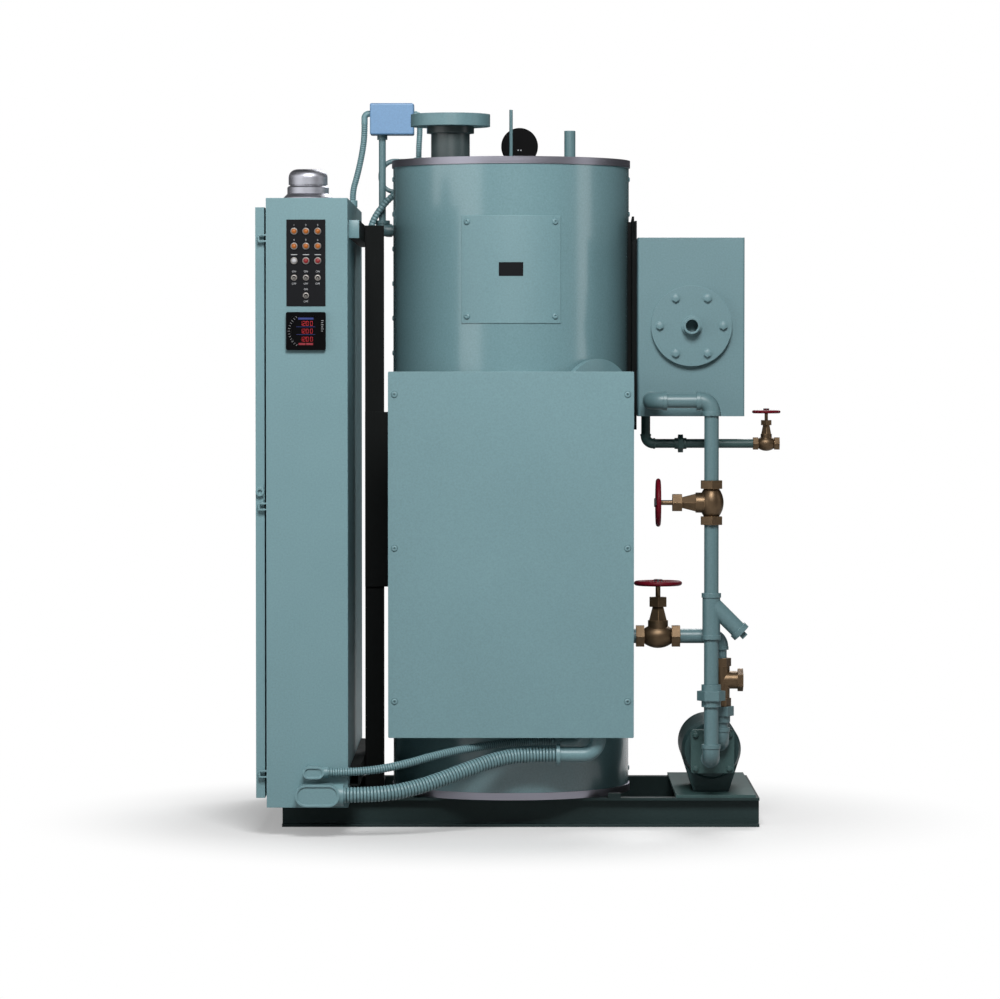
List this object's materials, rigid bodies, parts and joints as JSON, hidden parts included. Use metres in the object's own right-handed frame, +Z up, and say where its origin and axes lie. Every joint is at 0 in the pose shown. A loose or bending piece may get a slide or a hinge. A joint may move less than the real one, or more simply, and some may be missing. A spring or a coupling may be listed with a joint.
{
  "type": "industrial boiler",
  "caption": "Packaged vertical electric steam boiler on a channel skid, with control cabinet, feed tank, feed pump and piping.",
  "frame": {"origin": "on the floor, on the underside of the skid below the vessel's axis", "axes": "+X to the right along the skid seen from the front, +Y from the front to the back, +Z up"},
  "size_m": [1.5302, 1.294, 2.1516],
  "materials": {
    "plant_paint": "semi-gloss enamel",
    "jacket_paint": "gloss enamel",
    "stainless": "brushed",
    "bronze": "cast, aged",
    "wheel_red": "enamel",
    "black": "matte",
    "housing_blue": "satin",
    "lamp_amber": "gloss",
    "bright_metal": "polished",
    "panel_white": "satin",
    "conduit_grey": "painted flexible metal"
  },
  "bodies": {
    "boiler": {"access_plate": "plant_paint", "box_conduit_elbows": "plant_paint", "cabinet_post": "plant_paint", "check_valve": "bronze", "conduit_connectors": "plant_paint", "control_cabinet": "plant_paint", "control_plate": "black", "discharge_pipe": "plant_paint", "discharge_riser": "plant_paint", "drain_pipe": "plant_paint", "drain_valve": "bronze", "feed_tank": "plant_paint", "feed_tank_lid": "plant_paint", "feed_valve": "bronze", "handhole_cover": "plant_paint", "hinges_and_clamps": "plant_paint", "housing_conduit": "conduit_grey", "indicator_lamps": "lamp_amber", "jacket_floor": "plant_paint", "jacket_lid": "plant_paint", "jacket_trim_bands": "stainless", "large_conduit": "conduit_grey", "lid_conduit": "conduit_grey", "lid_nipples": "plant_paint", "lower_strut": "plant_paint", "mounting_panel": "panel_white", "panel_conduit_bodies": "plant_paint", "power_meter": "black", "pressure_gauge": "black", "probe_housing": "housing_blue", "probe_riser": "plant_paint", "pump_head": "plant_paint", "pump_motor": "plant_paint", "pump_plate": "plant_paint", "roof_horn": "stainless", "sensor_conduit": "conduit_grey", "siphon_tube": "plant_paint", "skid_cross_members": "plant_paint", "skid_front_rail": "plant_paint", "skid_rear_rail": "plant_paint", "small_conduit": "conduit_grey", "steam_outlet": "plant_paint", "suction_lower_pipe": "plant_paint", "suction_strainer": "plant_paint", "suction_upper_pipe": "plant_paint", "suction_valve": "bronze", "tank_brackets": "plant_paint", "tank_flange": "plant_paint", "terminal_box": "plant_paint", "terminal_cover": "plant_paint", "toggle_switches": "bright_metal", "upper_strut": "plant_paint", "vessel_jacket": "jacket_paint"},
    "door": {"cabinet_door": "plant_paint"},
    "suction_wheel": {"suction_handwheel": "wheel_red"},
    "feed_wheel": {"feed_handwheel": "wheel_red"},
    "drain_wheel": {"drain_handwheel": "wheel_red"}
  },
  "joints": [
    {"name": "door_hinge", "type": "hinge", "parent": "boiler", "child": "door", "pos_m": [-0.7084, 0.6354, 0.962], "axis": [0, 0, -1], "range_deg": [0, 110]},
    {"name": "suction_wheel_turn", "type": "hinge", "parent": "boiler", "child": "suction_wheel", "pos_m": [0.5837, -0.39, 0.9587], "axis": [-1, 0, 0], "range_deg": [0, 1080]},
    {"name": "feed_wheel_turn", "type": "hinge", "parent": "boiler", "child": "feed_wheel", "pos_m": [0.431, -0.31, 0.565], "axis": [0, 0, 1], "range_deg": [0, 1080]},
    {"name": "drain_wheel_turn", "type": "hinge", "parent": "boiler", "child": "drain_wheel", "pos_m": [0.7537, -0.2, 1.1275], "axis": [0, 0, 1], "range_deg": [0, 1080]}
  ]
}
